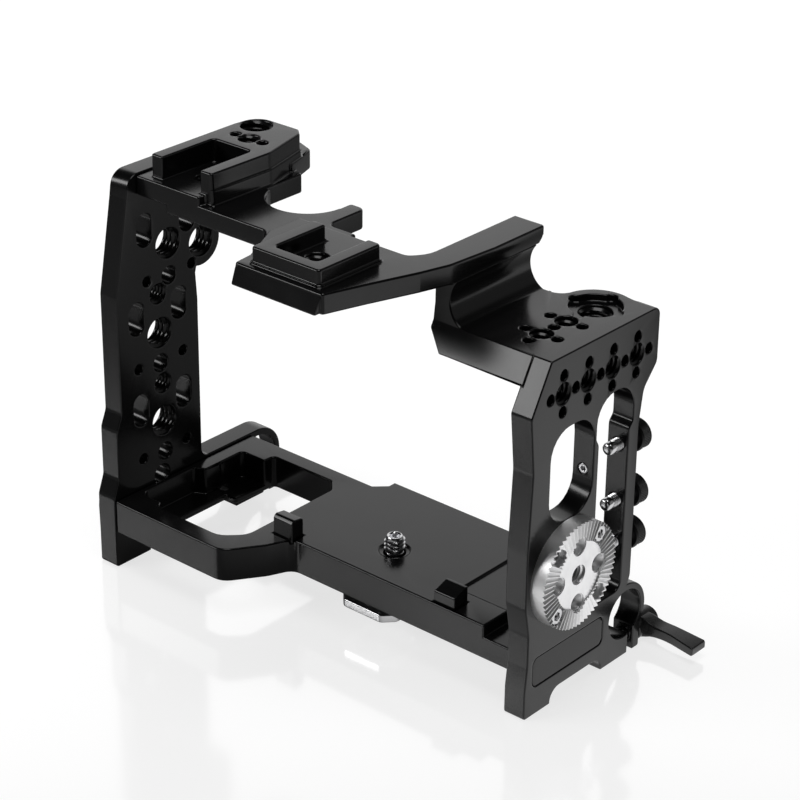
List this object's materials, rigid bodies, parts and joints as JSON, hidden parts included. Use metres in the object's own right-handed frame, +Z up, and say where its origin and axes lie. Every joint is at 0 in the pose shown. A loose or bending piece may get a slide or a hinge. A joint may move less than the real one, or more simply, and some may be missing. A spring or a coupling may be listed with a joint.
{
  "type": "camera cage",
  "caption": "Machined camera cage with side plates, a stepped top plate, shoes, a toothed rosette, rod clamps with levers, cable clamp screws and a captive camera screw.",
  "frame": {"origin": "axis of the camera screw at the top face of the base plate", "axes": "+Z up, +X to the side with the rosette, +Y to the back, away from the lens"},
  "size_m": [0.1883, 0.0977, 0.1313],
  "materials": {
    "black_anodised": "satin black anodised",
    "bare_aluminium": "machined",
    "lever_paint": "fine black powder coat",
    "steel": "machined",
    "dark_steel": "blackened",
    "washer_plastic": "matt"
  },
  "bodies": {
    "cage": {"left_side_plate": "black_anodised", "right_side_bracket": "black_anodised", "top_plate": "black_anodised", "base_plate": "black_anodised", "left_lug": "black_anodised", "right_lug": "black_anodised", "lug_screws": "dark_steel", "rosette": "bare_aluminium", "rosette_screws": "steel", "blank_plate": "black_anodised", "window_set_screw": "steel", "screw_retainer": "dark_steel", "left_top_screws": "dark_steel", "left_base_screws": "dark_steel", "right_base_screws": "dark_steel", "bridge_screws": "dark_steel", "base_dowels": "steel", "top_dowels": "steel"},
    "upper_screw": {"upper_clamp_pin": "steel"},
    "upper_knob": {"upper_clamp_knob": "black_anodised"},
    "middle_screw": {"middle_clamp_pin": "steel"},
    "middle_knob": {"middle_clamp_knob": "black_anodised"},
    "lower_screw": {"lower_clamp_pin": "steel"},
    "lower_knob": {"lower_clamp_knob": "black_anodised"},
    "right_lever_turn": {"right_clamp_bolt": "steel", "right_lever_core": "steel", "right_lever_spring": "steel", "right_lever_screw": "dark_steel"},
    "right_lever": {"right_lever_handle": "lever_paint"},
    "left_lever_turn": {"left_clamp_bolt": "steel", "left_lever_core": "steel", "left_lever_spring": "steel", "left_lever_screw": "dark_steel"},
    "left_lever": {"left_lever_handle": "lever_paint"},
    "camera_screw_travel": {"screw_washer": "washer_plastic"},
    "camera_screw_turn": {"camera_screw": "steel", "ring_pin": "steel"},
    "folding_ring": {"folding_ring": "steel"}
  },
  "joints": [
    {"name": "upper_screw_travel", "type": "slide", "parent": "cage", "child": "upper_screw", "axis": [0, 1, 0], "range_m": [-0.0004, 0.004]},
    {"name": "upper_knob_turn", "type": "hinge", "parent": "upper_screw", "child": "upper_knob", "pos_m": [0.0596, 0.031, 0.046], "axis": [0, 1, 0], "range_deg": [-230, 2283]},
    {"name": "middle_screw_travel", "type": "slide", "parent": "cage", "child": "middle_screw", "axis": [0, 1, 0], "range_m": [-0.0004, 0.004]},
    {"name": "middle_knob_turn", "type": "hinge", "parent": "middle_screw", "child": "middle_knob", "pos_m": [0.0596, 0.031, 0.0285], "axis": [0, 1, 0], "range_deg": [-230, 2283]},
    {"name": "lower_screw_travel", "type": "slide", "parent": "cage", "child": "lower_screw", "axis": [0, 1, 0], "range_m": [-0.0004, 0.004]},
    {"name": "lower_knob_turn", "type": "hinge", "parent": "lower_screw", "child": "lower_knob", "pos_m": [0.0596, 0.031, 0.015], "axis": [0, 1, 0], "range_deg": [-230, 2283]},
    {"name": "right_clamp_turn", "type": "hinge", "parent": "cage", "child": "right_lever_turn", "pos_m": [0.0596, 0.036, -0.0188], "axis": [0, 1, 0], "range_deg": [-90, 0]},
    {"name": "right_lever_pull", "type": "slide", "parent": "right_lever_turn", "child": "right_lever", "axis": [0, 1, 0], "range_m": [0, 0.0018], "stiffness_N_per_m": 500, "deforming": ["right_lever_spring"]},
    {"name": "left_clamp_turn", "type": "hinge", "parent": "cage", "child": "left_lever_turn", "pos_m": [-0.0855, 0.036, -0.0188], "axis": [0, 1, 0], "range_deg": [0, 90]},
    {"name": "left_lever_pull", "type": "slide", "parent": "left_lever_turn", "child": "left_lever", "axis": [0, 1, 0], "range_m": [0, 0.0018], "stiffness_N_per_m": 500, "deforming": ["left_lever_spring"]},
    {"name": "camera_screw_drop", "type": "slide", "parent": "cage", "child": "camera_screw_travel", "axis": [0, 0, 1], "range_m": [-0.005, 0]},
    {"name": "camera_screw_spin", "type": "hinge", "parent": "camera_screw_travel", "child": "camera_screw_turn", "pos_m": [0, 0, 0], "axis": [0, 0, 1], "range_deg": [-1573, 0]},
    {"name": "ring_fold", "type": "hinge", "parent": "camera_screw_turn", "child": "folding_ring", "pos_m": [0, 0, -0.01425], "axis": [1, 0, 0], "range_deg": [0, 175]}
  ],
  "couplings": [
    {"joint": "upper_knob_turn", "follows": "upper_screw_travel", "rad_per_m": 8976},
    {"joint": "middle_knob_turn", "follows": "middle_screw_travel", "rad_per_m": 8976},
    {"joint": "lower_knob_turn", "follows": "lower_screw_travel", "rad_per_m": 8976},
    {"joint": "camera_screw_spin", "follows": "camera_screw_drop", "rad_per_m": 4947.4}
  ]
}
